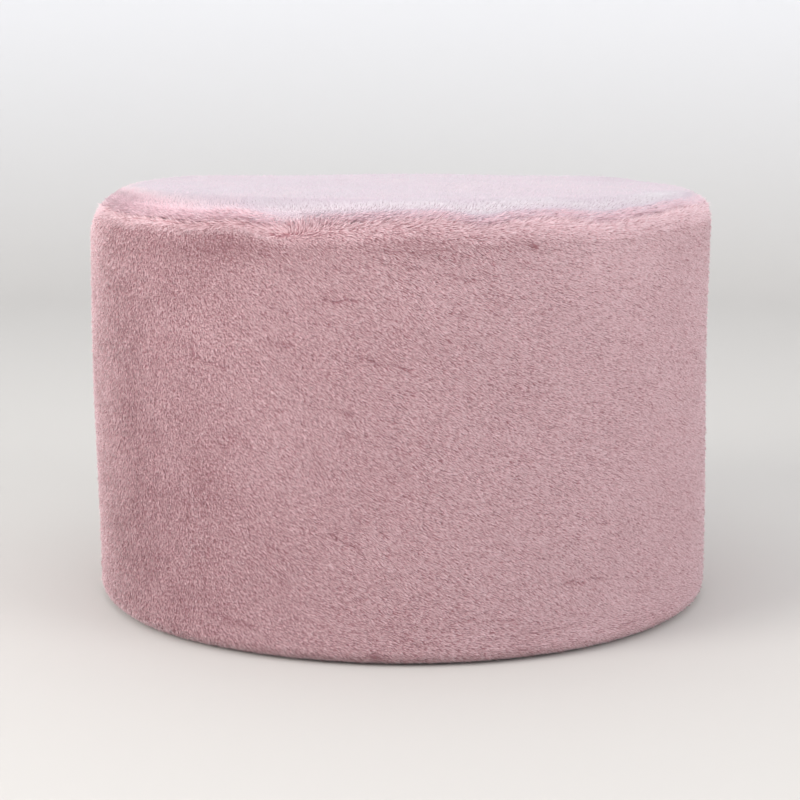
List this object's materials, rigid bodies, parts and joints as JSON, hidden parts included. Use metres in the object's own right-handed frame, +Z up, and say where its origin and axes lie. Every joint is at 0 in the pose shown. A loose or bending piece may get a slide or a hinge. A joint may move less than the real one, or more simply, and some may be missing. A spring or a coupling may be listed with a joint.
{
  "type": "round plush pouf",
  "caption": "Low round drum pouf in short plush, with a softly crowned top panel sewn to an upright side band by a sunken rim seam; used as a seat or footrest.",
  "frame": {"origin": "on the floor, under the middle of the pouf's outline", "axes": "+Z up, -Y towards the front that was pictured, +X to the right seen from that front"},
  "size_m": [0.6036, 0.601, 0.398],
  "materials": {
    "top_plush": "short dusty pink plush, brushed, soft sheen",
    "side_plush": "short dusty pink plush with brushed shading and partings",
    "base_cloth": "plain woven base cloth, matt"
  },
  "bodies": {
    "root": {"top_panel": "top_plush", "side_band": "side_plush", "base_panel": "base_cloth"}
  },
  "joints": []
}
